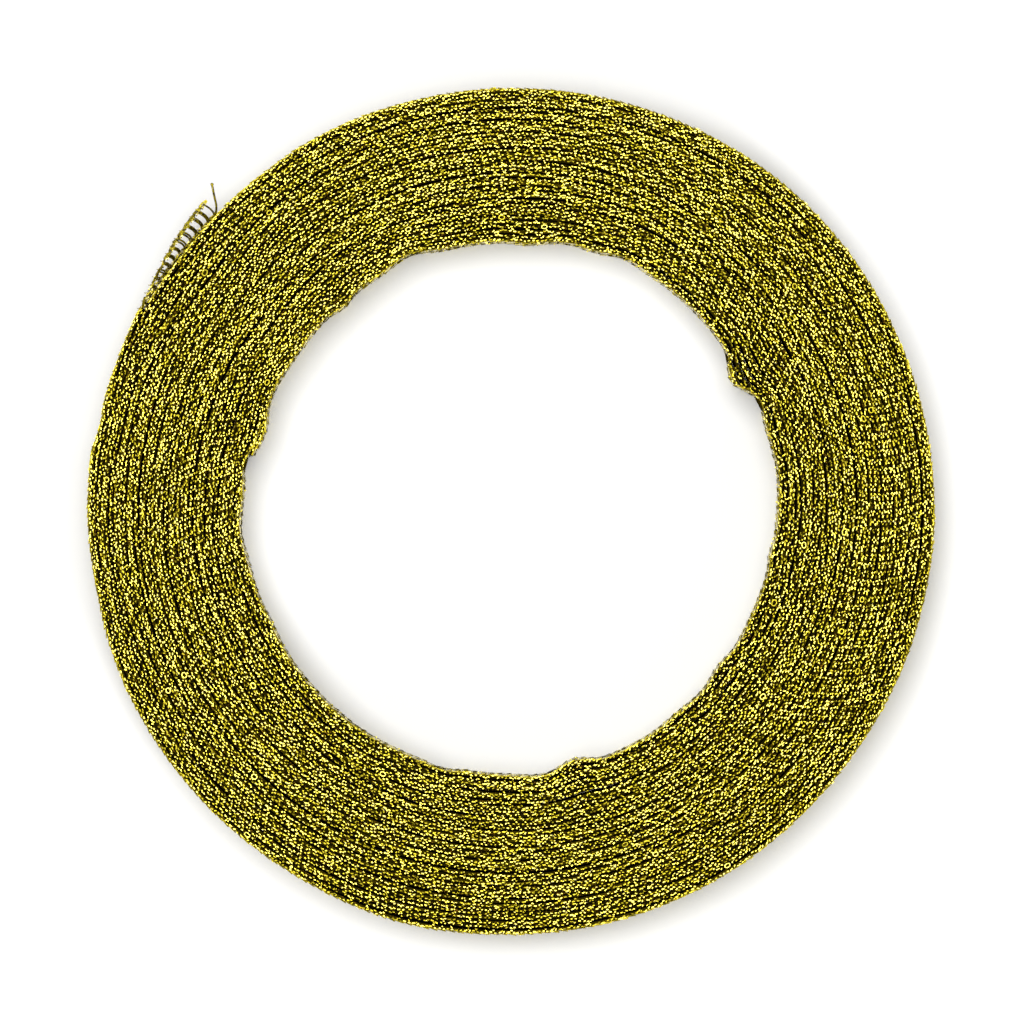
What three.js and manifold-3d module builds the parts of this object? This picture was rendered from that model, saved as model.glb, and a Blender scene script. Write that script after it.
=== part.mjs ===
import * as THREE from "three";
import { mergeVertices } from "three/addons/utils/BufferGeometryUtils.js";
import Module from "manifold-3d";

// A roll of narrow gold ribbon, wound without a core and lying on its edge, so that its axis is upright.
// The outer end of the ribbon has come loose: its upper edge leans outward and one yarn strays from the cut.
// Millimetres, +Z up. The origin is on the surface that the roll lies on, below the middle of the roll.
// Angles are in degrees, counter-clockwise from +X as seen from above.

// Driving dimensions
const ribbonWidth = 10;
const turnCount = 38;
const rimRadius = 47.2;
const coreRadius = 29.94;
const turnPitch = (rimRadius - coreRadius) / turnCount;

// The hole lies a little off the middle of the roll.
const coreOffset = 0.38;

// Where the ribbon ends: inside the hole, where it parts from the rim, and the cut tip of the loose end.
const coreEndAngle = 168.75;
const partingAngle = 151.25;
const tipAngle = 135.2;

// Folds of the turns next to the hole. Spread is in degrees, shift is in mm and positive away from the axis.
const coreFolds = [
  { angle: 8, spread: 5, shift: 0.2 },
  { angle: 23, spread: 3, shift: 0.45 },
  { angle: 30, spread: 4, shift: -1.3 },
  { angle: 60, spread: 17, shift: 0.5 },
  { angle: 65.5, spread: 4, shift: 0.4 },
  { angle: 78, spread: 4, shift: 0.25 },
  { angle: 87, spread: 3.5, shift: -0.3 },
  { angle: 112, spread: 5, shift: 0.7 },
  { angle: 130, spread: 3, shift: -0.45 },
  { angle: 143, spread: 9, shift: -0.15 },
  { angle: 163, spread: 5, shift: -0.75 },
  { angle: 171, spread: 3, shift: 0.35 },
  { angle: 185, spread: 5, shift: 0.45 },
  { angle: 206, spread: 5, shift: -0.2 },
  { angle: 255, spread: 3.5, shift: 0.35 },
  { angle: 276, spread: 4, shift: 0.3 },
  { angle: 284, spread: 4, shift: -0.9 },
  { angle: 309, spread: 5, shift: -0.28 },
  { angle: 322, spread: 4, shift: -0.5 },
  { angle: 335, spread: 15, shift: -0.4 },
  { angle: 349.5, spread: 3, shift: -0.3 },
];

// Folds of the turns next to the rim.
const rimFolds = [
  { angle: 50, spread: 32, shift: 0.38 },
  { angle: 127, spread: 5, shift: -0.2 },
  { angle: 160, spread: 9, shift: -0.3 },
  { angle: 168, spread: 2.5, shift: -0.35 },
  { angle: 190, spread: 6, shift: -0.2 },
  { angle: 254, spread: 8, shift: 0.25 },
  { angle: 318, spread: 20, shift: -0.27 },
];

// Folds die away towards the middle of the winding: these are powers of the share of the way across it.
const coreFoldFade = 5;
const rimFoldFade = 8;

// Groups of turns from the hole to the rim: each stands a little higher or lower than its neighbours.
const turnGroups = [
  { turns: 5, height: 9.65 },
  { turns: 4, height: 9.85 },
  { turns: 4, height: 9.7 },
  { turns: 3, height: 9.92 },
  { turns: 3, height: 9.5 },
  { turns: 5, height: 9.85 },
  { turns: 5, height: 9.7 },
  { turns: 4, height: 9.92 },
  { turns: 5, height: 9.8 },
];
const grooveDepth = 0.55;
const grooveHalfWidth = 0.3;

// The upper edges also rise and fall gently along the winding.
const waveHeight = 0.08;
const waveCount = 3;
const wavePhaseStep = 2.1;

// The lower rim and the lower edge of the hole are eased, inside a flat underside.
const edgeEase = 0.25;
const ringSegments = 144;

// The loose end is a sheet round the rim, whose upper strip curls outward more and more towards the tip.
const looseThickness = 1;
const looseGap = 0.32;
const looseRecess = 0.65;
const looseHeight = 9.9;
const curlStrip = 2.6;
const curlAngle = 1.6;
const curlGrowth = 1.5;
const looseEndAngle = 149.6;
const looseLengthSteps = 14;
const looseHeightSteps = 16;

// A stray yarn leaves the cut tip and points away from the roll.
const strayThickness = 0.4;
const straySteps = 10;
const strayRoute = [
  { x: -33.5, y: 32.5, z: 7.0 },
  { x: -32.95, y: 33.2, z: 7.5 },
  { x: -32.85, y: 34.0, z: 8.1 },
  { x: -33.1, y: 34.8, z: 8.6 },
  { x: -33.25, y: 35.6, z: 8.9 },
  { x: -33.35, y: 36.4, z: 9.0 },
];

const degree = Math.PI / 180;

const goldRibbon = new THREE.MeshStandardMaterial({ color: 0xc4aa3a, roughness: 0.35, metalness: 0.9 });
const goldLooseEnd = new THREE.MeshStandardMaterial({ color: 0xd8c250, roughness: 0.32, metalness: 0.9 });

// The share of a turn between a starting angle and this angle.
function turnShare(angle, start) {
  return THREE.MathUtils.euclideanModulo(angle - start, 360) / 360;
}

// The shift that a table of folds gives at an angle.
function foldShift(folds, angle) {
  let shift = 0;
  for (const fold of folds) {
    const away = THREE.MathUtils.euclideanModulo(angle - fold.angle + 180, 360) - 180;
    shift += fold.shift * Math.exp(-((away / fold.spread) ** 2));
  }
  return shift;
}

// The rim is pressed in under the loose end, which lies over it.
function recessUnderLooseEnd(angle) {
  const middle = (tipAngle + looseEndAngle) / 2;
  const reach = (partingAngle - tipAngle) / 2;
  return Math.abs(angle - middle) < reach ? looseRecess : 0;
}

// The radius of the winding at an angle, a share of 0 being the hole and 1 the rim.
// The ribbon runs inward as the angle grows, by one layer in each turn.
function windingRadius(share, angle) {
  const ribbonEnd = share < 0.5 ? coreEndAngle : partingAngle;
  const spiral = turnPitch * turnShare(angle, ribbonEnd);
  const core = foldShift(coreFolds, angle) * (1 - share) ** coreFoldFade;
  const rim = (foldShift(rimFolds, angle) - recessUnderLooseEnd(angle)) * share ** rimFoldFade;
  return THREE.MathUtils.lerp(coreRadius, rimRadius, share) - spiral + core + rim;
}

// The section of the winding, from the eased lower edge of the hole round over the top and back,
// listed from its end so that the faces turned from it point outward.
function windingSection() {
  const points = [
    new THREE.Vector2(coreRadius + edgeEase, 0),
    new THREE.Vector2(coreRadius, edgeEase),
  ];
  let radius = coreRadius;
  turnGroups.forEach((group, index) => {
    const groupEnd = radius + group.turns * turnPitch;
    const firstInset = index === 0 ? 0 : grooveHalfWidth;
    const lastInset = index === turnGroups.length - 1 ? 0 : grooveHalfWidth;
    points.push(new THREE.Vector2(radius + firstInset, group.height));
    points.push(new THREE.Vector2(groupEnd - lastInset, group.height));
    if (lastInset > 0) {
      const lower = Math.min(group.height, turnGroups[index + 1].height);
      points.push(new THREE.Vector2(groupEnd, lower - grooveDepth));
    }
    radius = groupEnd;
  });
  points.push(new THREE.Vector2(rimRadius, edgeEase));
  points.push(new THREE.Vector2(rimRadius - edgeEase, 0));
  points.push(points[0].clone());
  return points.reverse();
}

// Merges the vertices that faces share, so that only positions are left.
function mergedGeometry(geometry) {
  geometry.deleteAttribute("normal");
  geometry.deleteAttribute("uv");
  return mergeVertices(geometry);
}

// Moves every vertex of a geometry by a function from old to new position.
function bendGeometry(geometry, bend) {
  const merged = mergedGeometry(geometry);
  const position = merged.attributes.position;
  const point = new THREE.Vector3();
  for (let index = 0; index < position.count; index += 1) {
    point.fromBufferAttribute(position, index);
    bend(point);
    position.setXYZ(index, point.x, point.y, point.z);
  }
  merged.computeVertexNormals();
  return merged;
}

// The upper half of the section rises and falls gently along the winding.
function waveAt(share, angle, height) {
  const phase = share * turnGroups.length * wavePhaseStep;
  const wave = waveHeight * Math.sin(waveCount * angle * degree + phase);
  return height > ribbonWidth / 2 ? wave : 0;
}

function bendWinding(point) {
  const radius = Math.hypot(point.x, point.y);
  const angle = Math.atan2(point.y, point.x) / degree;
  const share = (radius - coreRadius) / (rimRadius - coreRadius);
  const bent = windingRadius(share, angle);
  const wave = waveAt(share, angle, point.z);
  const offset = coreOffset * (1 - share);
  point.set(bent * Math.cos(angle * degree), bent * Math.sin(angle * degree) + offset, point.z + wave);
}

function makeRoll() {
  const lathe = new THREE.LatheGeometry(windingSection(), ringSegments);
  lathe.rotateX(Math.PI / 2);
  return bendGeometry(lathe, bendWinding);
}

// The place across the curled strip: how far it leans outward and how high it stands.
function curlAt(over, curl) {
  const turned = (curl * over) / curlStrip;
  const radius = curlStrip / curl;
  return { outward: radius * (1 - Math.cos(turned)), upward: radius * Math.sin(turned), turned };
}

// Bends a box of unit length and thickness round the rim. Along it, 0 is the parting and 1 the tip.
function bendLooseEnd(point) {
  const along = point.x + 0.5;
  const outside = point.y * looseThickness;
  const angle = THREE.MathUtils.lerp(looseEndAngle, tipAngle, along);
  const curlFoot = looseHeight - curlStrip;
  const over = Math.max(0, point.z - curlFoot);
  const slightCurl = 0.05;
  const curl = curlAt(over, slightCurl + curlAngle * along ** curlGrowth);
  const innerFace = windingRadius(1, angle) + looseGap;
  const radius = innerFace + looseThickness / 2 + curl.outward + outside * Math.cos(curl.turned);
  const height = Math.min(point.z, curlFoot) + curl.upward - outside * Math.sin(curl.turned);
  point.set(radius * Math.cos(angle * degree), radius * Math.sin(angle * degree), height);
}

function makeLooseSheet() {
  const box = new THREE.BoxGeometry(1, 1, looseHeight, looseLengthSteps, 1, looseHeightSteps);
  box.translate(0, 0, looseHeight / 2);
  return bendGeometry(box, bendLooseEnd);
}

function makeStrayYarn() {
  const half = strayThickness / 2;
  const section = new THREE.Shape([
    new THREE.Vector2(half, 0),
    new THREE.Vector2(0, half),
    new THREE.Vector2(-half, 0),
    new THREE.Vector2(0, -half),
  ]);
  const route = strayRoute.map((place) => new THREE.Vector3(place.x, place.y, place.z));
  const extrudePath = new THREE.CatmullRomCurve3(route);
  const yarn = new THREE.ExtrudeGeometry(section, { steps: straySteps, extrudePath });
  return mergedGeometry(yarn);
}

const wasm = await Module();
wasm.setup();

function toSolid(geometry) {
  const vertProperties = new Float32Array(geometry.attributes.position.array);
  const triVerts = new Uint32Array(geometry.index.array);
  return new wasm.Manifold(new wasm.Mesh({ numProp: 3, vertProperties, triVerts }));
}

function fromSolid(solid) {
  const mesh = solid.getMesh();
  const geometry = new THREE.BufferGeometry();
  geometry.setAttribute("position", new THREE.BufferAttribute(mesh.vertProperties, 3));
  geometry.setIndex(new THREE.BufferAttribute(mesh.triVerts, 1));
  geometry.computeVertexNormals();
  return geometry;
}

function makeLooseEnd() {
  return fromSolid(toSolid(makeLooseSheet()).add(toSolid(makeStrayYarn())));
}

function namedMesh(name, geometry, material) {
  const mesh = new THREE.Mesh(geometry, material);
  mesh.name = name;
  return mesh;
}

const ribbonRoll = new THREE.Group();
ribbonRoll.add(namedMesh("roll", makeRoll(), goldRibbon));
ribbonRoll.add(namedMesh("loose_end", makeLooseEnd(), goldLooseEnd));

export default ribbonRoll;
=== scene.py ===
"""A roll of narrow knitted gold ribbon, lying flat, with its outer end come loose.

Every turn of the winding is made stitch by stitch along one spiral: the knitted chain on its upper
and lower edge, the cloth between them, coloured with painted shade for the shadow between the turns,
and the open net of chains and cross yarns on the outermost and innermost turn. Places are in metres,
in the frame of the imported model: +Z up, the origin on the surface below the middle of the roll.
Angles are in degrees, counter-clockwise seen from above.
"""
import math

import bmesh
import bpy
import numpy as np
from mathutils import Matrix, Vector


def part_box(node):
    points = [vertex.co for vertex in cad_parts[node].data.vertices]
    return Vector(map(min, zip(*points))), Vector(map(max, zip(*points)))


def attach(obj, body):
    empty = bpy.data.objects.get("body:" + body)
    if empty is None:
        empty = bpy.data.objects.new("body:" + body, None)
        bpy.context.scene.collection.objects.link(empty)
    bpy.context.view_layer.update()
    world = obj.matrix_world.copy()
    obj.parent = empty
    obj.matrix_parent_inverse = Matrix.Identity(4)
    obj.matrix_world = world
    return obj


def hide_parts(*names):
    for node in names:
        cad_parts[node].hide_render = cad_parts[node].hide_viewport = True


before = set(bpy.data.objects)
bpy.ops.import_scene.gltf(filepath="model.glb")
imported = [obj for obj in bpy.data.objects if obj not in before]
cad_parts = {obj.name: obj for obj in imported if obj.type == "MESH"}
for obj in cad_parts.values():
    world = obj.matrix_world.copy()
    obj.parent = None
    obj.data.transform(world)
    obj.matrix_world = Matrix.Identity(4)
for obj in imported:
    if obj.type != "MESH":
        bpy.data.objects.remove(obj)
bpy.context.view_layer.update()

bl_info = {
    "name": "Gold Ribbon Roll",
    "version": (1, 0, 0),
    "blender": (4, 5, 0),
    "location": "3D View > Sidebar > Ribbon",
    "description": "Makes a wound roll of knitted gold ribbon with a loose end",
    "category": "Add Mesh",
}

MM = 0.001
BODY = "root"
ROLL_LOW, ROLL_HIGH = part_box("roll")

# The winding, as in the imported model: one spiral, its turns counted inward from where the loose end parts.
PARTING_ANGLE = 151.25
TIP_ANGLE = 135.2
CORE_END_ANGLE = 168.75
CORE_OFFSET = 0.38 * MM

# Folds of the turns next to the hole. Spread is in degrees, shift is in mm and positive away from the axis.
CORE_FOLDS = [
    {"angle": 8, "spread": 5, "shift": 0.2},
    {"angle": 23, "spread": 3, "shift": 0.45},
    {"angle": 30, "spread": 4, "shift": -1.3},
    {"angle": 60, "spread": 17, "shift": 0.5},
    {"angle": 65.5, "spread": 4, "shift": 0.4},
    {"angle": 78, "spread": 4, "shift": 0.25},
    {"angle": 87, "spread": 3.5, "shift": -0.3},
    {"angle": 112, "spread": 5, "shift": 0.7},
    {"angle": 130, "spread": 3, "shift": -0.45},
    {"angle": 143, "spread": 9, "shift": -0.15},
    {"angle": 163, "spread": 5, "shift": -0.75},
    {"angle": 171, "spread": 3, "shift": 0.35},
    {"angle": 185, "spread": 5, "shift": 0.45},
    {"angle": 206, "spread": 5, "shift": -0.2},
    {"angle": 255, "spread": 3.5, "shift": 0.35},
    {"angle": 276, "spread": 4, "shift": 0.3},
    {"angle": 284, "spread": 4, "shift": -0.9},
    {"angle": 309, "spread": 5, "shift": -0.28},
    {"angle": 322, "spread": 4, "shift": -0.5},
    {"angle": 335, "spread": 15, "shift": -0.4},
    {"angle": 349.5, "spread": 3, "shift": -0.3},
]

# Folds of the turns next to the rim.
RIM_FOLDS = [
    {"angle": 50, "spread": 32, "shift": 0.38},
    {"angle": 127, "spread": 5, "shift": -0.2},
    {"angle": 160, "spread": 9, "shift": -0.3},
    {"angle": 168, "spread": 2.5, "shift": -0.35},
    {"angle": 190, "spread": 6, "shift": -0.2},
    {"angle": 254, "spread": 8, "shift": 0.25},
    {"angle": 318, "spread": 20, "shift": -0.27},
]
CORE_FOLD_FADE = 5
RIM_FOLD_FADE = 8

# Away from rim and hole each turn lies in a ring of its own, and steps in to the next between these angles.
STEP_FROM = 112
STEP_TO = 150

# Folds that all these rings share, and how far the rings are drawn in everywhere.
SHARED_FOLDS = [
    {"angle": 5, "spread": 14, "shift": 0.27},
    {"angle": 60, "spread": 35, "shift": 0.5},
    {"angle": 108, "spread": 14, "shift": 0.15},
    {"angle": 142, "spread": 9, "shift": -0.45},
    {"angle": 185, "spread": 12, "shift": 0.15},
    {"angle": 215, "spread": 50, "shift": 0.18},
    {"angle": 320, "spread": 25, "shift": -0.15},
]
SHARED_DRAW_IN = 0.3 * MM

# Places where neighbouring turns stand apart. Turn counts from the rim inward, and width is in mm.
PARTED_TURNS = [
    {"turn": 34.5, "angle": 31, "spread": 5, "width": 0.5},
    {"turn": 36.5, "angle": 33, "spread": 4, "width": 0.35},
]

# How many turns to either side such a place moves, and how sharply.
PARTING_REACH = 2.5
PARTING_SHARPNESS = 2

# How many turns the roll has.
TURN_COUNT = 37

# Turns that stand up and show full bright loops, each spread over its reach in turns. Full is at most 1.
FULL_TURNS = [
    {"turn": 0, "reach": 0.6, "full": 0.8},
    {"turn": 2.6, "reach": 0.6, "full": 1.0},
    {"turn": 6.4, "reach": 0.7, "full": 1.0},
    {"turn": 9, "reach": 0.45, "full": 0.8},
    {"turn": 11, "reach": 0.6, "full": 0.75},
    {"turn": 13, "reach": 0.4, "full": 0.5},
    {"turn": 15, "reach": 0.4, "full": 0.6},
    {"turn": 16, "reach": 0.4, "full": 0.8},
    {"turn": 17, "reach": 0.4, "full": 0.4},
    {"turn": 19, "reach": 0.45, "full": 0.8},
    {"turn": 21, "reach": 0.45, "full": 1.0},
    {"turn": 23, "reach": 0.6, "full": 1.0},
    {"turn": 26, "reach": 0.7, "full": 0.8},
    {"turn": 29, "reach": 0.6, "full": 0.6},
    {"turn": 30.5, "reach": 0.4, "full": 0.6},
    {"turn": 32, "reach": 0.4, "full": 0.5},
    {"turn": 34, "reach": 0.5, "full": 0.7},
    {"turn": 36.4, "reach": 0.6, "full": 0.8},
]

# The height of the upper edge where a turn is slack, and how much higher it stands where it is full.
EDGE_LOW = 9.68 * MM
EDGE_RISE = 0.2 * MM

# Slow wander of the turns: how often in a turn, how far sideways and how far in height, in mm.
WANDER = [
    {"per_turn": 0.37, "sideways": 0.02, "height": 0.06},
    {"per_turn": 1.31, "sideways": 0.035, "height": 0.07},
    {"per_turn": 3.17, "sideways": 0.03, "height": 0.05},
    {"per_turn": 7.43, "sideways": 0.02, "height": 0.03},
    {"per_turn": 19.1, "sideways": 0.012, "height": 0.03},
]

# The distance of the cut tip of the loose end from the axis.
LOOSE_TIP_RADIUS = 46.6 * MM

# The upper strip of the loose end curls outward, in radians: little at the parting, most at the tip.
CURL_STRIP = 3.2 * MM
CURL_START = 0.02
CURL_ANGLE = 1.65
CURL_GROWTH = 1.25

# The turns below the loose end are pressed in by it. Angle and spread are in degrees, shift is in mm.
PRESSED_IN = {"angle": 139, "spread": 10, "shift": -0.42}

# The part of a turn over which this sets in.
PRESSED_FROM = 0.25

# The route of the stray yarn at the cut, in mm.
STRAY_ROUTE = [
    {"x": -33.35, "y": 32.45, "z": 7.2},
    {"x": -32.9, "y": 33.1, "z": 7.6},
    {"x": -32.85, "y": 34.0, "z": 8.1},
    {"x": -33.05, "y": 34.8, "z": 8.6},
    {"x": -33.2, "y": 35.6, "z": 8.9},
    {"x": -33.33, "y": 36.3, "z": 9.0},
]

# The stray yarn's thickness, and the radius of the bead at its tip.
STRAY_YARN = 0.27 * MM
BEAD_RADIUS = 0.19 * MM

# The bits of yarn that show in a stitch of a slack turn, in mm. Drop is how far a bit lies below the edge.
SLACK_BITS = [
    {"along": -0.24, "across": 0.045, "drop": 0.0, "span": 0.37, "width": 0.12},
    {"along": 0.24, "across": -0.045, "drop": 0.03, "span": 0.36, "width": 0.11},
    {"along": 0.0, "across": 0.16, "drop": 0.15, "span": 0.28, "width": 0.09},
]

# The same in a stitch of a full turn.
FULL_BITS = [
    {"along": -0.26, "across": 0.04, "drop": 0.0, "span": 0.56, "width": 0.135},
    {"along": 0.23, "across": -0.04, "drop": 0.02, "span": 0.52, "width": 0.125},
    {"along": 0.0, "across": 0.19, "drop": 0.05, "span": 0.44, "width": 0.115},
]

# How unevenly the bits lie, in mm and radians. Span is in shares of the bit's own span.
BIT_PLAY = {
    "along": 0.03, "across": 0.022, "drop": 0.05, "span": (0.85, 1.2), "turn": 0.45, "lean": 0.09,
}

# How far the bits are turned from the winding's direction, in radians, and how high their arches rise.
BIT_TURN = -0.1
BIT_RISE = 0.6 * MM

# The upper edge: how many shapes each of its two stitches has, and in how many pieces it is made.
EDGE_KINDS = 6
EDGE_PIECES = 4

# How unevenly its stitches are set. Angles are in radians.
EDGE_PLAY = {"place": 0.027 * MM, "tilt": 0.1, "heading": 0.12, "size": (0.85, 1.15)}

# The share of full stitches where a turn is slack, and what is added to it where the turn is full.
FULL_LEAST = 0.1
FULL_ADDED = 0.75

# The share of stitches that are a loop lying open, and the shape of that loop.
OPEN_SHARE = 0.003
OPEN_LOOP = {"length": 0.74 * MM, "width": 0.56 * MM, "yarn": 0.1 * MM, "lean": 0.1}

# The lower edge: the shape of its stitches, the height they hang from, and how unevenly they are set.
LOWER_STITCH = {"span": 0.62 * MM, "rise": 0.3 * MM, "width": 0.44 * MM}
LOWER_HEIGHT = 0.38 * MM
LOWER_PLAY = {"heading": 0.3, "size": (0.85, 0.98)}

# The cloth between the edges, in mm. It ends sunk below a slack turn's edge, and is raised in a full turn.
CLOTH = {"from": 0.2, "sunk": 0.95, "raised": 0.35, "thickness": 0.34}

# Into how many flat strips the cloth of one turn is divided.
CLOTH_STEPS = 90

# The net on the outer and inner face. Its outermost chains keep this far from the edges.
NET_MARGIN = 0.3 * MM

# The loops and the cross yarns of the net. Off is how far they stand off the ribbon's middle.
NET_LOOP = {"stitches": 1.3, "width": 0.44 * MM, "lean": 0.14, "off": 0.19 * MM}
NET_RUNG = {"bow": 0.08 * MM, "off": 0.2 * MM, "beside": 0.13 * MM, "tilt": 0.04}

# How unevenly the loops are set. Angles are in radians.
NET_PLAY = {"height": 0.03 * MM, "tilt": 0.1, "heading": 0.05, "size": (0.9, 1.1)}

# How many turns of the net line the hole.
INNER_TURNS = 1.02

# The loose end: its loops, its cross yarns, and the knots of yarn on its outermost chain.
LOOSE_LOOP = {"tilt": 0.16, "size": (0.88, 1.12)}
LOOSE_RUNG = {"yarn": 0.24 * MM, "beside": 0.12 * MM, "bow": 0.2 * MM, "sway": 0.03 * MM, "steps": 7}
LOOSE_KNOT = {"shifts": (0.25, 0.75), "sunk": 0.02 * MM, "size": (0.8, 1.1), "height": 0.5}

# The depth of a yarn against its width.
YARN_FLATNESS = 0.8

# The yarn's finish: its gloss, the depth of its finest strands, and how many of them lie in a metre.
COAT_ROUGHNESS = 0.12
RELIEF_DEPTH = 0.05 * MM
FINE_SCALE = 6000.0

# Yarn ends are closed by merging points nearer than this.
WELD = 0.001 * MM

# Into how many steps a turn is divided to measure its length.
SAMPLES_PER_TURN = 720

# The lamps of the stage, in metres and watts.
LAMPS = [
    {"name": "overhead", "place": (-0.15, 0.15, 1.3), "side": 0.8, "power": 18.5},
    {"name": "low", "place": (0.5, -0.7, 0.5), "side": 0.3, "power": 4.0},
]

# The light of the room, and the floor.
ROOM_LIGHT = 0.12
FLOOR_HALF_SIDE = 2.0
FLOOR_ROUGHNESS = 0.9

# The camera: how high it stands in metres, its sensor's width in mm, and the nearest that it sees.
CAMERA_HEIGHT = 1.2
SENSOR_WIDTH = 36.0
CLIP_START = 0.01

# The photograph's frame: pixels across, pixels to a millimetre, and where the roll's middle lies in it.
PHOTO_SIDE = 1024
PIXELS_PER_MM = 9.0
ROLL_MIDDLE_PIXEL = (511.7, 510.8)


class RibbonSizes(bpy.types.PropertyGroup):
    """Sizes of the ribbon and its winding"""

    rim_radius: bpy.props.FloatProperty(
        name="Rim radius", description="Outer radius of the roll",
        default=47.2 * MM, unit="LENGTH",
    )
    core_radius: bpy.props.FloatProperty(
        name="Hole radius", description="Radius of the hole of the roll",
        default=29.94 * MM, unit="LENGTH",
    )
    width: bpy.props.FloatProperty(
        name="Ribbon width", description="Width of the ribbon, which stands on its edge",
        default=ROLL_HIGH.z - ROLL_LOW.z, unit="LENGTH",
    )
    thickness: bpy.props.FloatProperty(
        name="Chain thickness", description="Thickness of the knitted chains",
        default=0.4 * MM, unit="LENGTH",
    )
    stitch: bpy.props.FloatProperty(
        name="Stitch length", description="Distance from one stitch to the next",
        default=0.967 * MM, unit="LENGTH",
    )
    chains: bpy.props.IntProperty(
        name="Chains", description="Knitted chains across the ribbon",
        default=5, min=2,
    )
    yarn: bpy.props.FloatProperty(
        name="Yarn", description="Thickness of the chain yarn",
        default=0.17 * MM, unit="LENGTH",
    )
    cross_yarn: bpy.props.FloatProperty(
        name="Cross yarn", description="Thickness of the yarn between chains",
        default=0.13 * MM, unit="LENGTH",
    )
    seed: bpy.props.IntProperty(name="Seed", description="Start of the random draws", default=11)


class RibbonFinish(bpy.types.PropertyGroup):
    """Colours of the ribbon and the stage"""

    light_gold: bpy.props.FloatVectorProperty(
        name="Light gold", description="Colour of the clean yarn",
        subtype="COLOR", default=(0.86, 0.73, 0.045),
    )
    deep_gold: bpy.props.FloatVectorProperty(
        name="Deep gold", description="Colour of the shaded yarn",
        subtype="COLOR", default=(0.55, 0.46, 0.015),
    )
    copper: bpy.props.FloatVectorProperty(
        name="Copper", description="Colour of warmer flecks",
        subtype="COLOR", default=(0.62, 0.30, 0.03),
    )
    # Painted shade: the near-black cloth colour stands in for the shadow deep between the turns, where the
    # ribbon's own yarn lies unlit.
    gap_painted_shade: bpy.props.FloatVectorProperty(
        name="Dark gold", description="Colour between the turns",
        subtype="COLOR", default=(0.012, 0.010, 0.001),
    )
    # Painted shade, lightened: the cloth of a full turn stands higher and is painted as if it caught more
    # light.
    shade_gold: bpy.props.FloatVectorProperty(
        name="Shade gold", description="Colour of the cloth under full loops",
        subtype="COLOR",
        default=(0.036, 0.029, 0.001),
    )
    loose_gold: bpy.props.FloatVectorProperty(
        name="Loose gold", description="Colour of the loose end",
        subtype="COLOR", default=(0.5, 0.41, 0.012),
    )
    loose_shade: bpy.props.FloatVectorProperty(
        name="Loose shade", description="Darker colour of the loose end",
        subtype="COLOR",
        default=(0.05, 0.038, 0.001),
    )
    floor: bpy.props.FloatVectorProperty(
        name="Floor", description="Colour of the floor",
        subtype="COLOR", default=(0.97, 0.97, 0.97),
    )


def sizes():
    """The sizes that a user may change."""
    return bpy.context.scene.ribbon_sizes


def finish():
    """The colours that a user may change."""
    return bpy.context.scene.ribbon_finish


def pitch():
    """The distance between two turns."""
    return (sizes().rim_radius - sizes().core_radius) / TURN_COUNT


def last_turn():
    """Where the ribbon ends inside the hole, in turns from the parting."""
    return TURN_COUNT + (CORE_END_ANGLE - PARTING_ANGLE) / 360


def fold_shift(folds, angle):
    """The shift that a table of folds gives at each angle."""
    shift = np.zeros_like(angle)
    for fold in folds:
        away = (angle - fold["angle"] + 180) % 360 - 180
        shift += fold["shift"] * MM * np.exp(-((away / fold["spread"]) ** 2))
    return shift


def wander(turn, kind):
    """Slow uneven sway of the winding, sideways or in height."""
    draws = np.random.default_rng(sizes().seed + len(kind))
    sway = np.zeros_like(turn)
    for row in WANDER:
        phase = draws.uniform(0, 2 * math.pi)
        sway += row[kind] * MM * np.sin(2 * math.pi * row["per_turn"] * turn + phase)
    return sway


def parted_shift(turn, angle):
    """How far turns stand off to either side of the gaps between them."""
    shift = np.zeros_like(turn)
    for gap in PARTED_TURNS:
        away = (angle - gap["angle"] + 180) % 360 - 180
        here = gap["width"] / 2 * MM * np.exp(-((away / gap["spread"]) ** 2))
        beyond = gap["turn"] - turn
        shift += here * np.tanh(beyond * PARTING_SHARPNESS) * np.exp(-np.abs(beyond) / PARTING_REACH)
    return shift


def rings(turn):
    """The number of rings that lie outside each turn, which grows by one at each step in."""
    whole = np.floor(turn)
    angle = PARTING_ANGLE + 360 * (turn - whole) - 360
    step = np.clip((angle - STEP_FROM) / (STEP_TO - STEP_FROM), 0, 1)
    return whole + step * step * (3 - 2 * step)


def fullness(turn):
    """How full of bright loops the edge is, from 0 to 1."""
    ring = rings(turn)
    full = np.zeros_like(turn)
    for row in FULL_TURNS:
        full += row["full"] * np.exp(-(((ring - row["turn"]) / row["reach"]) ** 2))
    return np.clip(full, 0, 1)


def centre_line(turn):
    """Points on the ribbon's middle surface, at z = 0, for turns counted inward from the parting."""
    angle = PARTING_ANGLE + 360 * turn
    share = np.clip(1 - turn / last_turn(), 0, 1)
    middle = sizes().rim_radius - sizes().thickness / 2
    radius = middle - pitch() * turn
    radius += fold_shift(CORE_FOLDS, angle) * (1 - share) ** CORE_FOLD_FADE
    radius += fold_shift(RIM_FOLDS, angle) * share**RIM_FOLD_FADE
    radius += fold_shift([PRESSED_IN], angle) * share**RIM_FOLD_FADE * np.clip(turn / PRESSED_FROM, 0, 1)
    between = 1 - share**RIM_FOLD_FADE - (1 - share) ** CORE_FOLD_FADE
    settled = pitch() * (turn - rings(turn)) + fold_shift(SHARED_FOLDS, angle) - SHARED_DRAW_IN
    radius += between * settled + parted_shift(turn, angle) + wander(turn, "sideways")
    points = np.zeros((len(turn), 3))
    points[:, 0] = radius * np.cos(np.radians(angle))
    points[:, 1] = radius * np.sin(np.radians(angle)) + CORE_OFFSET * (1 - share)
    return points


def edge_height(turn):
    """The height of the ribbon's upper edge."""
    return EDGE_LOW + EDGE_RISE * fullness(turn) + wander(turn, "height")


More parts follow.
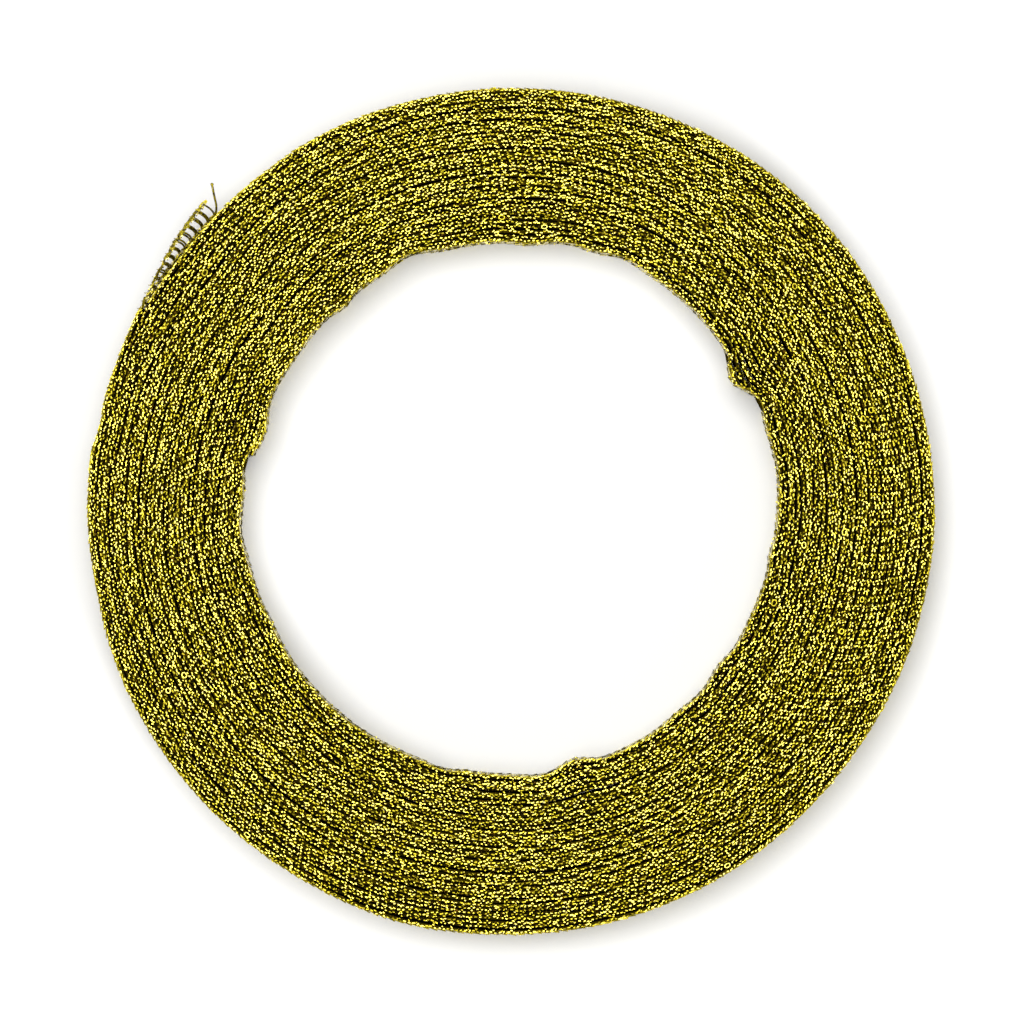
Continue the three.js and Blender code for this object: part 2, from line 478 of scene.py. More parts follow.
def stitch_turns(first, last):
    """The turns at which stitches lie, a stitch length apart along the winding."""
    fine = np.linspace(first, last, int((last - first) * SAMPLES_PER_TURN) + 2)
    steps = np.linalg.norm(np.diff(centre_line(fine), axis=0), axis=1)
    along = np.concatenate([[0], np.cumsum(steps)])
    count = int(along[-1] / sizes().stitch)
    return np.interp((np.arange(count) + 0.5) * sizes().stitch, along, fine)


def headings(turn):
    """The heading of the winding at each turn, as an angle about +Z."""
    step = 1e-4
    ahead = centre_line(turn + step) - centre_line(turn - step)
    return np.arctan2(ahead[:, 1], ahead[:, 0])


def new_object(name, mesh):
    """Puts a mesh or other data into the scene as an object."""
    obj = bpy.data.objects.new(name, mesh)
    bpy.context.scene.collection.objects.link(obj)
    return obj


def mesh_from(bm, name):
    """Turns a bmesh into a mesh and frees it."""
    mesh = bpy.data.meshes.new(name)
    bm.to_mesh(mesh)
    bm.free()
    return mesh


def flat_section(bm, sides, width, flat=YARN_FLATNESS):
    """The section of a flat yarn in the XY plane, one of its faces towards -X. Returns its vertices."""
    section = bmesh.ops.create_circle(bm, segments=sides, radius=width / 2)["verts"]
    face_out = Matrix.Rotation(math.pi / 2 - math.pi / sides, 3, "Z")
    bmesh.ops.rotate(bm, verts=section, cent=(0, 0, 0), matrix=face_out)
    widen = width / 2 / max(vert.co.y for vert in section)
    bmesh.ops.scale(bm, verts=section, vec=(widen * flat, widen, 1))
    return section


def edges_of(verts):
    """The edges at these vertices, each once and in their order."""
    return list(dict.fromkeys(edge for vert in verts for edge in vert.link_edges))


def yarn_loop(bm, length, width, thickness, steps, sides, lean):
    """An oval loop of yarn in the XY plane, its head leaning up: a section spun round and drawn out."""
    verts = flat_section(bm, sides, thickness)
    bmesh.ops.rotate(bm, verts=verts, cent=(0, 0, 0), matrix=Matrix.Rotation(math.pi / 2, 3, "Y"))
    bmesh.ops.translate(bm, verts=verts, vec=(0, -(width - thickness) / 2, 0))
    section = verts + edges_of(verts)
    bmesh.ops.spin(
        bm, geom=section, cent=(0, 0, 0), axis=(0, 0, 1), angle=2 * math.pi, steps=steps, use_merge=True
    )
    draw_out = (length - width) / 2
    for vert in bm.verts:
        side = max(-1.0, min(1.0, vert.co.x / (width / 4)))
        vert.co.x += side * draw_out
        vert.co.z += vert.co.x * lean


def yarn_arch(bm, span, rise, width, steps, sides, place, turn=0.0, lean=0.0, flat=YARN_FLATNESS):
    """An arch of flat yarn along X with closed feet, leant about X, turned about Z and set in place."""
    section = flat_section(bm, sides, width, flat)
    bmesh.ops.translate(bm, verts=section, vec=(-span / 2, 0, 0))
    edges = edges_of(section)
    made = bmesh.ops.spin(
        bm, geom=section + edges, cent=(0, 0, 0), axis=(0, 1, 0), angle=math.pi, steps=steps
    )
    last = [g for g in made["geom_last"] if isinstance(g, bmesh.types.BMEdge)]
    bmesh.ops.contextual_create(bm, geom=edges)
    bmesh.ops.contextual_create(bm, geom=last)
    first = section[0]
    verts, ahead = [first], [first]
    while ahead:
        for edge in ahead.pop().link_edges:
            for vert in edge.verts:
                if vert not in verts:
                    verts.append(vert)
                    ahead.append(vert)
    bmesh.ops.scale(bm, verts=verts, vec=(1, 1, rise / (span / 2)))
    bmesh.ops.rotate(bm, verts=verts, cent=(0, 0, 0), matrix=Matrix.Rotation(lean, 3, "X"))
    bmesh.ops.rotate(bm, verts=verts, cent=(0, 0, 0), matrix=Matrix.Rotation(turn, 3, "Z"))
    bmesh.ops.translate(bm, verts=verts, vec=place)


def yarn_curves(name, routes, thickness, sides_level=1):
    """Yarns with closed ends along routes of points, as one mesh. A higher level gives them more sides."""
    curve = bpy.data.curves.new(name, "CURVE")
    curve.dimensions = "3D"
    curve.bevel_depth = thickness / 2
    curve.bevel_resolution = sides_level
    curve.use_fill_caps = True
    curve.resolution_u = 2
    for route in routes:
        spline = curve.splines.new("NURBS")
        spline.points.add(len(route) - 1)
        for point, place in zip(spline.points, route):
            point.co = (*place, 1)
        spline.use_endpoint_u = True
        spline.order_u = 3
    holder = new_object(name, curve)
    mesh = bpy.data.meshes.new_from_object(holder.evaluated_get(bpy.context.evaluated_depsgraph_get()))
    bpy.data.objects.remove(holder)
    bpy.data.curves.remove(curve)
    bm = bmesh.new()
    bm.from_mesh(mesh)
    bpy.data.meshes.remove(mesh)
    bmesh.ops.remove_doubles(bm, verts=bm.verts, dist=WELD)
    outward(bm)
    return mesh_from(bm, name)


def outward(bm):
    """Faces of a closed form turned outward."""
    bmesh.ops.recalc_face_normals(bm, faces=bm.faces)


def edge_stitch(bits, draws, steps=3, sides=3):
    """Arches of yarn that stand on the edge, one stitch long."""
    bm = bmesh.new()
    side = draws.choice((-1, 1))
    for bit in bits:
        along = (bit["along"] + draws.normal(0, BIT_PLAY["along"])) * MM
        across = (side * bit["across"] + draws.normal(0, BIT_PLAY["across"])) * MM
        down = BIT_RISE + (bit["drop"] + draws.uniform(0, BIT_PLAY["drop"])) * MM
        span = bit["span"] * draws.uniform(*BIT_PLAY["span"]) * MM
        turn = draws.normal(BIT_TURN, BIT_PLAY["turn"])
        lean = draws.normal(0, BIT_PLAY["lean"])
        place = (along, across, -down)
        yarn_arch(bm, span, BIT_RISE, bit["width"] * MM, steps, sides, place, turn, lean)
    outward(bm)
    return mesh_from(bm, "edge_stitch")


def open_loop(steps=8, sides=3):
    """A loop that lies open on the edge."""
    bm = bmesh.new()
    shape = OPEN_LOOP
    yarn_loop(bm, shape["length"], shape["width"], shape["yarn"], steps, sides, shape["lean"])
    outward(bm)
    return mesh_from(bm, "open_loop")


def face_loop(steps=6, sides=3):
    """One loop of a chain as it shows on the ribbon's outer face, its head leaning out."""
    bm = bmesh.new()
    length = sizes().stitch * NET_LOOP["stitches"]
    yarn_loop(bm, length, NET_LOOP["width"], sizes().yarn, steps, sides, NET_LOOP["lean"])
    bmesh.ops.rotate(bm, verts=bm.verts, cent=(0, 0, 0), matrix=Matrix.Rotation(math.pi / 2, 3, "X"))
    outward(bm)
    return mesh_from(bm, "face_loop")


def face_rung(height, steps=2, sides=3):
    """One cross yarn, which stands between two chains and bows a little."""
    bm = bmesh.new()
    section = flat_section(bm, sides, sizes().cross_yarn)
    bmesh.ops.translate(bm, verts=section, vec=(0, 0, -height / 2))
    bottom = edges_of(section)
    loop = bottom
    for step in range(steps):
        made = bmesh.ops.extrude_edge_only(bm, edges=loop)["geom"]
        verts = [g for g in made if isinstance(g, bmesh.types.BMVert)]
        edges = [g for g in made if isinstance(g, bmesh.types.BMEdge)]
        loop = [edge for edge in edges if all(vert in verts for vert in edge.verts)]
        bow = NET_RUNG["bow"] if step < steps - 1 else -NET_RUNG["bow"]
        bmesh.ops.translate(bm, verts=verts, vec=(bow, 0, height / steps))
    bmesh.ops.contextual_create(bm, geom=bottom)
    bmesh.ops.contextual_create(bm, geom=loop)
    outward(bm)
    return mesh_from(bm, "face_rung")


def lower_stitch(steps=2, sides=3):
    """A low bump of yarn on the lower edge."""
    bm = bmesh.new()
    low = LOWER_STITCH
    yarn_arch(bm, low["span"], low["rise"], low["width"], steps, sides, (0, 0, 0))
    bmesh.ops.scale(bm, verts=bm.verts, vec=(1, 1, -1))
    outward(bm)
    return mesh_from(bm, "lower_stitch")


def copier():
    """The node group that sets a copy of a mesh on every point of a cloud, turned and sized by attributes."""
    name = "Set copies along the winding"
    if name in bpy.data.node_groups:
        return bpy.data.node_groups[name]
    tree = bpy.data.node_groups.new(name, "GeometryNodeTree")
    tree.interface.new_socket("Places", in_out="INPUT", socket_type="NodeSocketGeometry")
    tree.interface.new_socket("Copied", in_out="INPUT", socket_type="NodeSocketObject")
    tree.interface.new_socket("Copies", in_out="OUTPUT", socket_type="NodeSocketGeometry")
    nodes, links = tree.nodes, tree.links
    entry, leave = nodes.new("NodeGroupInput"), nodes.new("NodeGroupOutput")
    info = nodes.new("GeometryNodeObjectInfo")
    put = nodes.new("GeometryNodeInstanceOnPoints")
    real = nodes.new("GeometryNodeRealizeInstances")
    turned = nodes.new("GeometryNodeInputNamedAttribute")
    sized = nodes.new("GeometryNodeInputNamedAttribute")
    for node, attribute in ((turned, "turned"), (sized, "sized")):
        node.data_type = "FLOAT_VECTOR"
        node.inputs["Name"].default_value = attribute
    links.new(entry.outputs["Places"], put.inputs["Points"])
    links.new(entry.outputs["Copied"], info.inputs["Object"])
    links.new(info.outputs["Geometry"], put.inputs["Instance"])
    links.new(turned.outputs["Attribute"], put.inputs["Rotation"])
    links.new(sized.outputs["Attribute"], put.inputs["Scale"])
    links.new(put.outputs["Instances"], real.inputs["Geometry"])
    links.new(real.outputs["Geometry"], leave.inputs["Copies"])
    return tree


def copies(name, copied, places, turned, sized):
    """A mesh of joined copies of a mesh, one at each place."""
    cloud = bpy.data.meshes.new(name)
    cloud.vertices.add(len(places))
    cloud.vertices.foreach_set("co", np.asarray(places, dtype=np.float32).ravel())
    for attribute, values in (("turned", turned), ("sized", sized)):
        layer = cloud.attributes.new(attribute, "FLOAT_VECTOR", "POINT")
        layer.data.foreach_set("vector", np.asarray(values, dtype=np.float32).ravel())
    pattern = new_object(name + "_pattern", copied)
    holder = new_object(name + "_holder", cloud)
    modifier = holder.modifiers.new("Copies", "NODES")
    modifier.node_group = copier()
    socket = next(s for s in copier().interface.items_tree if s.name == "Copied")
    modifier[socket.identifier] = pattern
    made = holder.evaluated_get(bpy.context.evaluated_depsgraph_get())
    mesh = bpy.data.meshes.new_from_object(made)
    mesh.name = name
    for used in (holder, pattern):
        bpy.data.objects.remove(used)
    for attribute in ("turned", "sized"):
        if attribute in mesh.attributes:
            mesh.attributes.remove(mesh.attributes[attribute])
    return mesh


def joined(name, meshes):
    """One mesh of several."""
    bm = bmesh.new()
    for mesh in meshes:
        bm.from_mesh(mesh)
        bpy.data.meshes.remove(mesh)
    return mesh_from(bm, name)


def finish_piece(obj, material, *nodes):
    """Gives a piece its material and its body, and hides the solids that it stands for."""
    obj.data.materials.clear()
    obj.data.materials.append(material)
    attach(obj, BODY)
    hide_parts(*nodes)
    return obj


def gold_group():
    """Colour, roughness and relief of metallic yarn, patch by patch."""
    name = "Metallic yarn"
    if name in bpy.data.node_groups:
        return bpy.data.node_groups[name]
    tree = bpy.data.node_groups.new(name, "ShaderNodeTree")
    face = tree.interface
    for label in ("Light", "Deep", "Copper"):
        face.new_socket(label, in_out="INPUT", socket_type="NodeSocketColor")
    for label, value in (("Patch scale", 900.0), ("Fine scale", FINE_SCALE)):
        socket = face.new_socket(label, in_out="INPUT", socket_type="NodeSocketFloat")
        socket.default_value = value
    face.new_socket("Color", in_out="OUTPUT", socket_type="NodeSocketColor")
    face.new_socket("Roughness", in_out="OUTPUT", socket_type="NodeSocketFloat")
    face.new_socket("Height", in_out="OUTPUT", socket_type="NodeSocketFloat")
    nodes, links = tree.nodes, tree.links
    entry, leave = nodes.new("NodeGroupInput"), nodes.new("NodeGroupOutput")
    place = nodes.new("ShaderNodeTexCoord")

    def noise(scale_name, detail):
        node = nodes.new("ShaderNodeTexNoise")
        node.inputs["Detail"].default_value = detail
        links.new(place.outputs["Object"], node.inputs["Vector"])
        links.new(entry.outputs[scale_name], node.inputs["Scale"])
        return node

    def spread(source, low, high, low_to, high_to):
        node = nodes.new("ShaderNodeMapRange")
        labels = ("From Min", "From Max", "To Min", "To Max")
        for label, value in zip(labels, (low, high, low_to, high_to)):
            node.inputs[label].default_value = value
        links.new(source, node.inputs["Value"])
        return node.outputs["Result"]

    def blend(factor, first, second):
        node = nodes.new("ShaderNodeMix")
        node.data_type = "RGBA"
        links.new(factor, node.inputs["Factor"])
        links.new(first, node.inputs["A"])
        links.new(second, node.inputs["B"])
        return node.outputs["Result"]

    patches, fine = noise("Patch scale", 2.0), noise("Fine scale", 3.0)
    deep = spread(patches.outputs["Fac"], 0.42, 0.62, 0.0, 1.0)
    warm = spread(fine.outputs["Fac"], 0.6, 0.72, 0.0, 0.55)
    gold = blend(deep, entry.outputs["Light"], entry.outputs["Deep"])
    links.new(blend(warm, gold, entry.outputs["Copper"]), leave.inputs["Color"])
    links.new(spread(fine.outputs["Fac"], 0.3, 0.7, 0.3, 0.55), leave.inputs["Roughness"])
    links.new(fine.outputs["Fac"], leave.inputs["Height"])
    return tree


def gold_material(name, light, deep, patch_scale, bump, metal=1.0, coat=0.85):
    """A gold yarn finish. Metal and coat are 0 for dull cloth."""
    material = bpy.data.materials.new(name)
    material.use_nodes = True
    nodes, links = material.node_tree.nodes, material.node_tree.links
    shader = nodes["Principled BSDF"]
    shader.inputs["Metallic"].default_value = metal
    shader.inputs["Specular IOR Level"].default_value = 0.5 * metal
    shader.inputs["Coat Weight"].default_value = coat
    shader.inputs["Coat Roughness"].default_value = COAT_ROUGHNESS
    group = nodes.new("ShaderNodeGroup")
    group.node_tree = gold_group()
    for label, colour in (("Light", light), ("Deep", deep), ("Copper", finish().copper)):
        group.inputs[label].default_value = (*colour, 1)
    group.inputs["Patch scale"].default_value = patch_scale
    relief = nodes.new("ShaderNodeBump")
    relief.inputs["Strength"].default_value = bump
    relief.inputs["Distance"].default_value = RELIEF_DEPTH
    links.new(group.outputs["Height"], relief.inputs["Height"])
    links.new(relief.outputs["Normal"], shader.inputs["Normal"])
    links.new(group.outputs["Color"], shader.inputs["Base Color"])
    links.new(group.outputs["Roughness"], shader.inputs["Roughness"])
    return material


def chain_gold():
    """The finish of the chains, made once."""
    name = "Gold chain"
    if name in bpy.data.materials:
        return bpy.data.materials[name]
    return gold_material(name, finish().light_gold, finish().deep_gold, patch_scale=900.0, bump=0.5)


def cloth_painted_shade():
    """The finish of the cloth between the edges, all painted shade: near black in the gaps, and lighter,
    golden, where its turn stands full, as if it caught more light.
    """
    dark = finish().gap_painted_shade
    material = gold_material("Cloth painted shade", dark, dark, patch_scale=700.0, bump=0.6, metal=0.0, coat=0.0)
    nodes, links = material.node_tree.nodes, material.node_tree.links
    # Painted light: the fullness of the turn lightens the cloth's painted shade.
    full = nodes.new("ShaderNodeAttribute")
    full.attribute_name = "full"
    shade = nodes.new("ShaderNodeMix")
    shade.data_type = "RGBA"
    shade.inputs["A"].default_value = (*dark, 1)
    shade.inputs["B"].default_value = (*finish().shade_gold, 1)
    links.new(full.outputs["Fac"], shade.inputs["Factor"])
    group = next(node for node in nodes if node.type == "GROUP")
    for label in ("Light", "Deep"):
        links.new(shade.outputs["Result"], group.inputs[label])
    return material


def loose_gold():
    """The finish of the loose end, made once. Its yarn stands alone, with the pale floor behind it."""
    name = "Loose gold"
    if name in bpy.data.materials:
        return bpy.data.materials[name]
    return gold_material(
        name, finish().loose_gold, finish().loose_shade, patch_scale=2600.0, bump=0.9, metal=0.85, coat=0.85
    )


class RIBBON_OT_cloth(bpy.types.Operator):
    """Make the cloth of the wound ribbon between its two edges, coloured with painted shade"""

    bl_idname = "ribbon.cloth"
    bl_label = "Wound cloth"

    def execute(self, context):
        turn = np.linspace(0, last_turn(), int(last_turn() * CLOTH_STEPS) + 1)
        low = centre_line(turn)
        high = low.copy()
        low[:, 2] = CLOTH["from"] * MM
        full = fullness(turn)
        high[:, 2] = edge_height(turn) - (CLOTH["sunk"] - CLOTH["raised"] * full) * MM
        bm = bmesh.new()
        edge = bm.edges.new((bm.verts.new(low[0]), bm.verts.new(high[0])))
        for below, above in zip(low[1:], high[1:]):
            made = bmesh.ops.extrude_edge_only(bm, edges=[edge])["geom"]
            edge = next(g for g in made if isinstance(g, bmesh.types.BMEdge))
            verts = sorted(edge.verts, key=lambda vert: vert.co.z)
            verts[0].co = below
            verts[1].co = above
        mesh = mesh_from(bm, "wound_cloth")
        # The fullness also lightens the cloth's painted shade, as if a full turn caught more light.
        layer = mesh.attributes.new("full", "FLOAT", "POINT")
        layer.data.foreach_set("value", np.repeat(full, 2).astype(np.float32))
        cloth = new_object("wound_cloth", mesh)
        wall = cloth.modifiers.new("Thickness", "SOLIDIFY")
        wall.thickness = CLOTH["thickness"] * MM
        wall.offset = 0
        finish_piece(cloth, cloth_painted_shade(), "roll")
        return {"FINISHED"}


def edge_places(turn, height):
    """Places of stitches on an edge."""
    places = centre_line(turn)
    places[:, 2] = height
    return places


class RIBBON_OT_upper_edge(bpy.types.Operator):
    """Knit the chain along the upper edge of every turn"""

    bl_idname = "ribbon.upper_edge"
    bl_label = "Upper edge"

    def execute(self, context):
        turn = stitch_turns(0, last_turn())
        count = len(turn)
        draws = np.random.default_rng(sizes().seed + 100)
        places = edge_places(turn, edge_height(turn) - sizes().yarn / 2)
        places += draws.normal(0, EDGE_PLAY["place"], (count, 3))
        turned = np.zeros((count, 3))
        turned[:, 0] = draws.normal(0, EDGE_PLAY["tilt"], count)
        turned[:, 1] = draws.normal(0, EDGE_PLAY["tilt"], count)
        turned[:, 2] = headings(turn) + draws.normal(0, EDGE_PLAY["heading"], count)
        sized = draws.uniform(*EDGE_PLAY["size"], (count, 3))
        kinds = draws.integers(0, EDGE_KINDS, count)
        kinds[draws.random(count) < FULL_LEAST + FULL_ADDED * fullness(turn)] += EDGE_KINDS
        kinds[draws.random(count) < OPEN_SHARE] = 2 * EDGE_KINDS
        stitches = [edge_stitch(SLACK_BITS, draws) for _ in range(EDGE_KINDS)]
        stitches += [edge_stitch(FULL_BITS, draws) for _ in range(EDGE_KINDS)]
        stitches.append(open_loop())
        for number, chosen in enumerate(np.array_split(np.arange(count), EDGE_PIECES), 1):
            made = []
            for kind, stitch in enumerate(stitches):
                mine = chosen[kinds[chosen] == kind]
                if len(mine):
                    made.append(copies("stitches", stitch, places[mine], turned[mine], sized[mine]))
            name = f"upper_edge_{number}"
            finish_piece(new_object(name, joined(name, made)), chain_gold(), "roll")
        return {"FINISHED"}


class RIBBON_OT_lower_edge(bpy.types.Operator):
    """Knit the chain along the lower edge of every turn"""

    bl_idname = "ribbon.lower_edge"
    bl_label = "Lower edge"

    def execute(self, context):
        turn = stitch_turns(0, last_turn())
        draws = np.random.default_rng(sizes().seed + 200)
        turned = np.zeros((len(turn), 3))
        turned[:, 2] = headings(turn) + draws.normal(0, LOWER_PLAY["heading"], len(turn))
        sized = draws.uniform(*LOWER_PLAY["size"], (len(turn), 3))
        mesh = copies("lower_edge", lower_stitch(), edge_places(turn, LOWER_HEIGHT), turned, sized)
        finish_piece(new_object("lower_edge", mesh), chain_gold(), "roll")
        return {"FINISHED"}


def chain_rows(height):
    """The heights of the chains across the ribbon, for an upper edge at this height."""
    rows = np.linspace(0, 1, sizes().chains)
    return NET_MARGIN + rows * (height - 2 * NET_MARGIN)


def net_face(name, first, last, side, draws):
    """The chains and cross yarns of a stretch of ribbon. Side is -1 on its outer face, 1 on its inner."""
    turn = stitch_turns(first, last)
    count = len(turn)
    heading = headings(turn)
    line = centre_line(turn)
    normal = np.stack([-np.sin(heading), np.cos(heading), np.zeros(count)], axis=1)
    tangent = np.stack([np.cos(heading), np.sin(heading), np.zeros(count)], axis=1)
    rows = np.stack([chain_rows(height) for height in edge_height(turn)])
    meshes = []
    for row in range(sizes().chains):
        places = line + normal * side * NET_LOOP["off"]
        places[:, 2] = rows[:, row] + draws.normal(0, NET_PLAY["height"], count)
        turned = np.zeros((count, 3))
        turned[:, 0] = math.pi * (side > 0) + draws.normal(0, NET_PLAY["tilt"], count)
        turned[:, 2] = heading + draws.normal(0, NET_PLAY["heading"], count)
        sized = draws.uniform(*NET_PLAY["size"], (count, 3))
        meshes.append(copies("loops", face_loop(), places, turned, sized))
    gap = (rows[:, 1] - rows[:, 0]).mean()
    for row in range(sizes().chains - 1):
        for beside in (-1, 1):
            places = line + normal * side * NET_RUNG["off"] + tangent * beside * NET_RUNG["beside"]
            places[:, 2] = (rows[:, row] + rows[:, row + 1]) / 2
            turned = np.zeros((count, 3))
            turned[:, 1] = draws.normal(0, NET_RUNG["tilt"], count)
            turned[:, 2] = heading + math.pi * (beside > 0)
            meshes.append(copies("rungs", face_rung(gap), places, turned, np.ones((count, 3))))
    return joined(name, meshes)


class RIBBON_OT_outer_face(bpy.types.Operator):
    """Knit the net that shows round the outside of the roll"""

    bl_idname = "ribbon.outer_face"
    bl_label = "Outer face"

    def execute(self, context):
        draws = np.random.default_rng(sizes().seed + 300)
        mesh = net_face("outer_face", 0, 1, -1, draws)
        finish_piece(new_object("outer_face", mesh), chain_gold(), "roll")
        return {"FINISHED"}


class RIBBON_OT_inner_face(bpy.types.Operator):
    """Knit the net that shows inside the hole"""

    bl_idname = "ribbon.inner_face"
    bl_label = "Inner face"

    def execute(self, context):
        draws = np.random.default_rng(sizes().seed + 400)
        mesh = net_face("inner_face", last_turn() - INNER_TURNS, last_turn(), 1, draws)
        finish_piece(new_object("inner_face", mesh), chain_gold(), "roll")
        return {"FINISHED"}


def loose_point(along, height):
    """A point on the loose end. Along is 0 at the parting and 1 at the tip."""
    start = np.linalg.norm(centre_line(np.array([0.0]))[0])
    radius = start + (LOOSE_TIP_RADIUS - start) * along
    foot = sizes().width - CURL_STRIP
    over = max(0.0, height - foot)
    curl = CURL_START + CURL_ANGLE * max(0.0, along) ** CURL_GROWTH
    turned = curl * over / CURL_STRIP
    bend = CURL_STRIP / curl
    out = radius + bend * (1 - math.cos(turned))
    up = min(height, foot) + bend * math.sin(turned)
    angle = math.radians(PARTING_ANGLE + (TIP_ANGLE - PARTING_ANGLE) * along)
    return Vector((out * math.cos(angle), out * math.sin(angle), up))


def loose_ahead(along, height):
    """The direction towards the tip at a point on the loose end."""
    step = 0.01
    return (loose_point(along + step, height) - loose_point(along - step, height)).normalized()


def loose_turned(along, height):
    """How a loop on the loose end is turned: X towards the tip, Y outward off the sheet."""
    step = 0.01 * MM
    ahead = loose_ahead(along, height)
    above = loose_point(along, height + step) - loose_point(along, height - step)
    off = above.cross(ahead).normalized()
    return Matrix((ahead, off, ahead.cross(off))).transposed().to_euler()


def loose_up(along, height):
    """How a knot on the loose end's upper edge is turned: X towards the tip, Z upward."""
    ahead = loose_ahead(along, height)
    side = Vector((0, 0, 1)).cross(ahead).normalized()
    return Matrix((ahead, side, ahead.cross(side))).transposed().to_euler()


class RIBBON_OT_loose_ladder(bpy.types.Operator):
    """Knit the loose outer end of the ribbon, an open ladder with a curled upper strip"""

    bl_idname = "ribbon.loose_ladder"
    bl_label = "Loose end"

    def loops(self, alongs, rows, draws):
        """The loops of its chains."""
        spots = [(along, row) for row in rows for along in alongs]
        places = [loose_point(*spot) for spot in spots]
        turned = np.array([loose_turned(*spot) for spot in spots])
        turned += draws.normal(0, LOOSE_LOOP["tilt"], turned.shape)
        sized = draws.uniform(*LOOSE_LOOP["size"], turned.shape)
        return copies("loops", face_loop(8, 4), places, turned, sized)

    def rungs(self, alongs, rows, length, draws):
        """Its cross yarns, a single one at the cut and pairs elsewhere."""
        beside, bow = LOOSE_RUNG["beside"] / length, LOOSE_RUNG["bow"] / length
        shares = np.linspace(0, 1, LOOSE_RUNG["steps"])
        routes = []
        for low, high in zip(rows[:-1], rows[1:]):
            for number, along in enumerate(alongs):
                for off in (0,) if number == 0 else (-beside, beside):
                    foot = along + off + draws.normal(0, LOOSE_RUNG["sway"] / length)
                    routes.append([
                        loose_point(foot + bow * math.sin(math.pi * share), low + (high - low) * share)
                        for share in shares
                    ])
        return yarn_curves("rungs", routes, LOOSE_RUNG["yarn"])

    def knots(self, alongs, height, draws):
        """A row of knots of yarn on its outermost chain."""
        knot = edge_stitch(FULL_BITS, draws)
        places = [loose_point(along, height - LOOSE_KNOT["sunk"]) for along in alongs]
        turned = [loose_up(along, height) for along in alongs]
        sized = draws.uniform(*LOOSE_KNOT["size"], (len(alongs), 3)) * (1, 1, LOOSE_KNOT["height"])
        return copies("knots", knot, places, turned, sized)

    def execute(self, context):
        draws = np.random.default_rng(sizes().seed + 500)
        length = sizes().rim_radius * math.radians(PARTING_ANGLE - TIP_ANGLE)
        stitch = sizes().stitch / length
        alongs = 1 - np.arange(round(length / sizes().stitch)) * sizes().stitch / length
        rows = chain_rows(sizes().width)
        meshes = [self.loops(alongs, rows, draws), self.rungs(alongs, rows, length, draws)]
        for shift in LOOSE_KNOT["shifts"]:
            meshes.append(self.knots(alongs - shift * stitch, rows[-1], draws))
        ladder = new_object("loose_ladder", joined("loose_ladder", meshes))
        finish_piece(ladder, loose_gold(), "loose_end")
        return {"FINISHED"}


class RIBBON_OT_stray_yarn(bpy.types.Operator):
    """Lay the yarn that strays from the cut, with the bead of its melted tip"""

    bl_idname = "ribbon.stray_yarn"
    bl_label = "Stray yarn"

    def execute(self, context):
        route = [Vector((point["x"], point["y"], point["z"])) * MM for point in STRAY_ROUTE]
        bm = bmesh.new()
        bead = bmesh.ops.create_icosphere(bm, subdivisions=2, radius=BEAD_RADIUS)["verts"]
        bmesh.ops.translate(bm, verts=bead, vec=route[-1])
        outward(bm)
        meshes = [mesh_from(bm, "bead"), yarn_curves("yarn", [route], STRAY_YARN, 2)]
        finish_piece(new_object("stray_yarn", joined("stray_yarn", meshes)), loose_gold(), "loose_end")
        return {"FINISHED"}


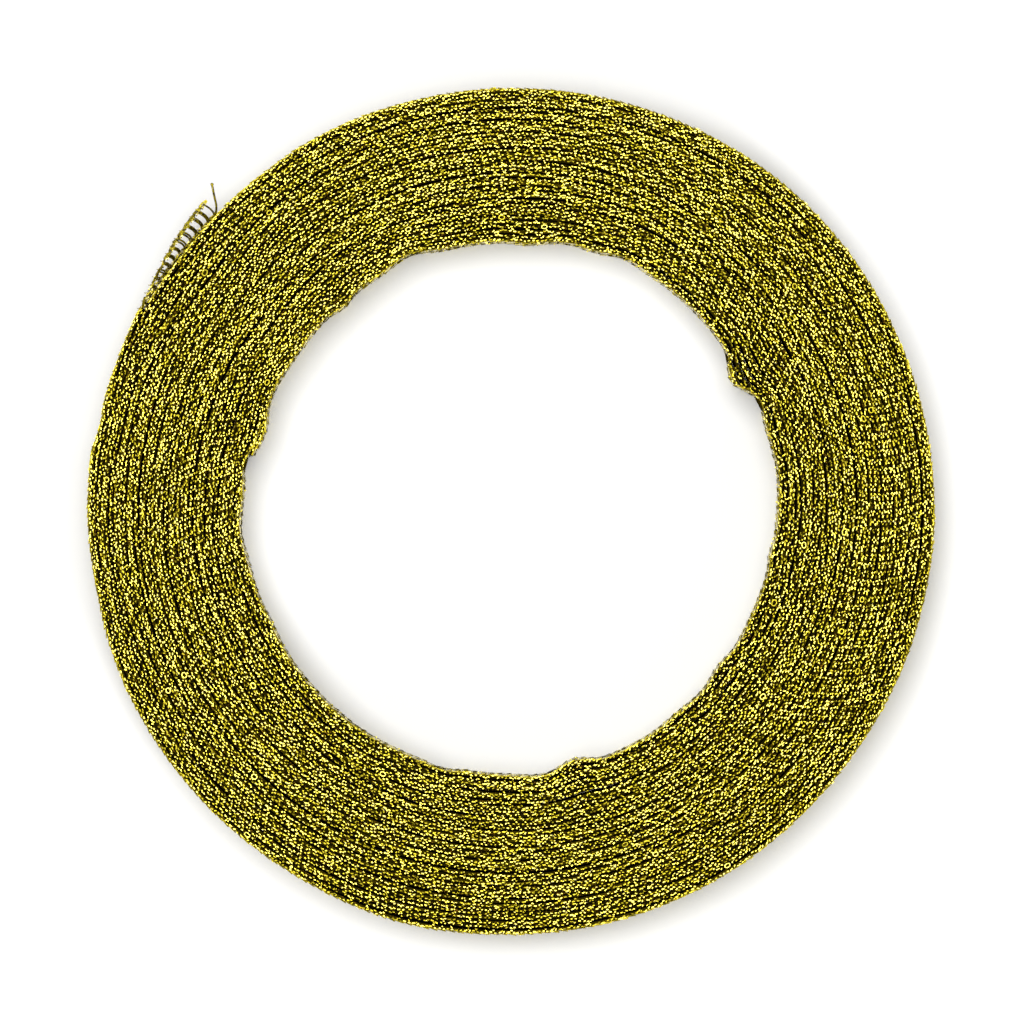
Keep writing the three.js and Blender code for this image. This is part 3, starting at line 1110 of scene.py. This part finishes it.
class RIBBON_OT_stage(bpy.types.Operator):
    """Set the floor, the lights and the camera"""

    bl_idname = "ribbon.stage"
    bl_label = "Stage"

    def floor(self):
        """A plain pale floor."""
        bm = bmesh.new()
        bmesh.ops.create_grid(bm, x_segments=1, y_segments=1, size=FLOOR_HALF_SIDE)
        floor = new_object("floor", mesh_from(bm, "floor"))
        material = bpy.data.materials.new("Pale floor")
        material.use_nodes = True
        shader = material.node_tree.nodes["Principled BSDF"]
        shader.inputs["Base Color"].default_value = (*finish().floor, 1)
        shader.inputs["Roughness"].default_value = FLOOR_ROUGHNESS
        floor.data.materials.append(material)

    def light(self, scene):
        """A soft lamp above, a weaker one from the lower right, and the light of the room."""
        for row in LAMPS:
            data = bpy.data.lights.new(row["name"], "AREA")
            data.size = row["side"]
            data.energy = row["power"]
            lamp = new_object(row["name"], data)
            lamp.location = row["place"]
            lamp.rotation_euler = (-Vector(row["place"])).to_track_quat("-Z", "Y").to_euler()
        world = bpy.data.worlds.new("Studio")
        world.use_nodes = True
        room = world.node_tree.nodes["Background"]
        room.inputs["Color"].default_value = (1, 1, 1, 1)
        room.inputs["Strength"].default_value = ROOM_LIGHT
        scene.world = world
        scene.view_settings.view_transform = "Standard"

    def camera(self, scene):
        """A camera that looks straight down and frames the roll as the photograph does."""
        data = bpy.data.cameras.new("camera")
        camera = new_object("camera", data)
        seen = PHOTO_SIDE / PIXELS_PER_MM * MM
        data.sensor_width = SENSOR_WIDTH
        data.lens = SENSOR_WIDTH * (CAMERA_HEIGHT - sizes().width) / seen
        data.clip_start = CLIP_START
        middle = PHOTO_SIDE / 2
        offset_x = (middle - ROLL_MIDDLE_PIXEL[0]) / PIXELS_PER_MM * MM
        offset_y = (ROLL_MIDDLE_PIXEL[1] - middle) / PIXELS_PER_MM * MM
        camera.location = (offset_x, offset_y, CAMERA_HEIGHT)
        scene.camera = camera

    def execute(self, context):
        self.floor()
        self.light(context.scene)
        self.camera(context.scene)
        return {"FINISHED"}


class RIBBON_PT_panel(bpy.types.Panel):
    """Lists the sizes, the colours and the steps that make the roll"""

    bl_label = "Gold Ribbon Roll"
    bl_idname = "RIBBON_PT_panel"
    bl_space_type = "VIEW_3D"
    bl_region_type = "UI"
    bl_category = "Ribbon"

    def draw(self, context):
        for group in (context.scene.ribbon_sizes, context.scene.ribbon_finish):
            for name in type(group).__annotations__:
                self.layout.prop(group, name)
        for step in OPERATORS:
            self.layout.operator(step.bl_idname)


OPERATORS = (
    RIBBON_OT_cloth,
    RIBBON_OT_upper_edge,
    RIBBON_OT_lower_edge,
    RIBBON_OT_outer_face,
    RIBBON_OT_inner_face,
    RIBBON_OT_stray_yarn,
    RIBBON_OT_loose_ladder,
    RIBBON_OT_stage,
)
CLASSES = (RibbonSizes, RibbonFinish, *OPERATORS, RIBBON_PT_panel)


def register():
    for made in CLASSES:
        bpy.utils.register_class(made)
    bpy.types.Scene.ribbon_sizes = bpy.props.PointerProperty(type=RibbonSizes)
    bpy.types.Scene.ribbon_finish = bpy.props.PointerProperty(type=RibbonFinish)


def unregister():
    del bpy.types.Scene.ribbon_finish
    del bpy.types.Scene.ribbon_sizes
    for made in reversed(CLASSES):
        bpy.utils.unregister_class(made)


def main():
    register()
    bpy.ops.ribbon.cloth()
    bpy.ops.ribbon.upper_edge()
    bpy.ops.ribbon.lower_edge()
    bpy.ops.ribbon.outer_face()
    bpy.ops.ribbon.inner_face()
    bpy.ops.ribbon.stray_yarn()
    bpy.ops.ribbon.loose_ladder()
    bpy.ops.ribbon.stage()


if __name__ == "__main__":
    main()
